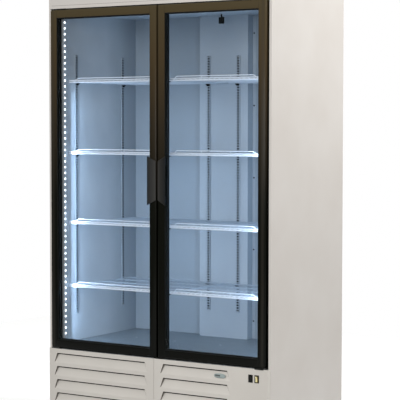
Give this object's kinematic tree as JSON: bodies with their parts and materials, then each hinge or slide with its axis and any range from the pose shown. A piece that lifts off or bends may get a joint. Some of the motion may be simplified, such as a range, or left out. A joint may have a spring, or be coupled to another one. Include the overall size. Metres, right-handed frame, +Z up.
{
  "type": "glass door merchandiser",
  "caption": "Upright refrigerated display cabinet with French-opening insulated glass doors, lit white wire shelves, a louvred machine grille and rocker switches.",
  "frame": {"origin": "on the floor under the centre of the footprint, feet down", "axes": "+Z up, -Y out of the glass doors, +X to the right of someone facing the doors"},
  "size_m": [1.2, 0.6858, 2.04],
  "materials": {
    "painted_steel": "satin",
    "galvanised_steel": "satin",
    "stainless_floor": "satin",
    "white_liner": "satin",
    "white_wire": "gloss",
    "slotted_strip": "satin",
    "foam": "matte",
    "black_plastic": "matte",
    "black_steel": "satin",
    "door_frame": "gloss",
    "gasket_rubber": "matte",
    "grip_plastic": "matte",
    "door_glass": "clear",
    "amber_lens": "gloss",
    "aluminium": "satin",
    "light_bar": "gloss"
  },
  "bodies": {
    "cabinet": {"back_panel": "galvanised_steel", "base_pan": "galvanised_steel", "breaker_frame": "black_plastic", "centre_mullion": "black_plastic", "compressor": "black_steel", "condenser_coil": "aluminium", "condenser_fan_motor": "galvanised_steel", "door_stop": "black_steel", "evaporator_coil": "aluminium", "floor_tray": "stainless_floor", "foam_insulation": "foam", "foot_front_left": "gasket_rubber", "foot_front_right": "gasket_rubber", "foot_rear_left": "gasket_rubber", "foot_rear_right": "gasket_rubber", "grille_left": "painted_steel", "grille_right": "painted_steel", "header_panel": "painted_steel", "hinge_bottom_left": "black_steel", "hinge_bottom_right": "black_steel", "hinge_top_left": "black_steel", "hinge_top_right": "black_steel", "inner_liner": "white_liner", "led_bar_left": "light_bar", "led_bar_right": "light_bar", "left_side_panel": "painted_steel", "pilaster_duct_left": "slotted_strip", "pilaster_duct_right": "slotted_strip", "pilaster_left_front": "slotted_strip", "pilaster_left_rear": "slotted_strip", "pilaster_mullion": "slotted_strip", "pilaster_right_front": "slotted_strip", "pilaster_right_rear": "slotted_strip", "rear_air_duct": "white_liner", "right_side_panel": "painted_steel", "shelf_left_1": "white_wire", "shelf_left_2": "white_wire", "shelf_left_3": "white_wire", "shelf_left_4": "white_wire", "shelf_right_1": "white_wire", "shelf_right_2": "white_wire", "shelf_right_3": "white_wire", "shelf_right_4": "white_wire", "sill_rail": "galvanised_steel", "switch_housing_light": "black_plastic", "switch_housing_power": "black_plastic", "temperature_probe": "black_plastic", "top_panel": "painted_steel"},
    "left_door": {"left_door_frame": "door_frame", "left_door_gasket": "gasket_rubber", "left_door_glass": "door_glass", "left_door_handle": "grip_plastic"},
    "right_door": {"right_door_frame": "door_frame", "right_door_gasket": "gasket_rubber", "right_door_glass": "door_glass", "right_door_handle": "grip_plastic"},
    "power_rocker": {"rocker_power": "black_plastic"},
    "light_rocker": {"rocker_light": "amber_lens"},
    "condenser_fan_wheel": {"condenser_fan": "black_plastic"},
    "evaporator_blower": {"evaporator_fan": "black_plastic"}
  },
  "joints": [
    {"name": "left_door_swing", "type": "hinge", "parent": "cabinet", "child": "left_door", "pos_m": [-0.565, -0.318, 1.1735], "axis": [0, 0, -1], "range_deg": [0, 110], "stiffness_Nm_per_rad": 1, "springref_deg": -11.46},
    {"name": "right_door_swing", "type": "hinge", "parent": "cabinet", "child": "right_door", "pos_m": [0.565, -0.318, 1.1735], "axis": [0, 0, 1], "range_deg": [0, 110], "stiffness_Nm_per_rad": 1, "springref_deg": -11.46},
    {"name": "power_switch_tilt", "type": "hinge", "parent": "cabinet", "child": "power_rocker", "pos_m": [0.507, -0.327, 0.336], "axis": [-1, 0, 0], "range_deg": [0, 14]},
    {"name": "light_switch_tilt", "type": "hinge", "parent": "cabinet", "child": "light_rocker", "pos_m": [0.538, -0.327, 0.336], "axis": [-1, 0, 0], "range_deg": [0, 14]},
    {"name": "condenser_fan_spin", "type": "hinge", "parent": "cabinet", "child": "condenser_fan_wheel", "pos_m": [-0.23, -0.174, 0.1643], "axis": [0, 1, 0], "continuous": true},
    {"name": "evaporator_blower_spin", "type": "hinge", "parent": "cabinet", "child": "evaporator_blower", "pos_m": [0, 0.2865, 0.872], "axis": [1, 0, 0], "continuous": true}
  ]
}
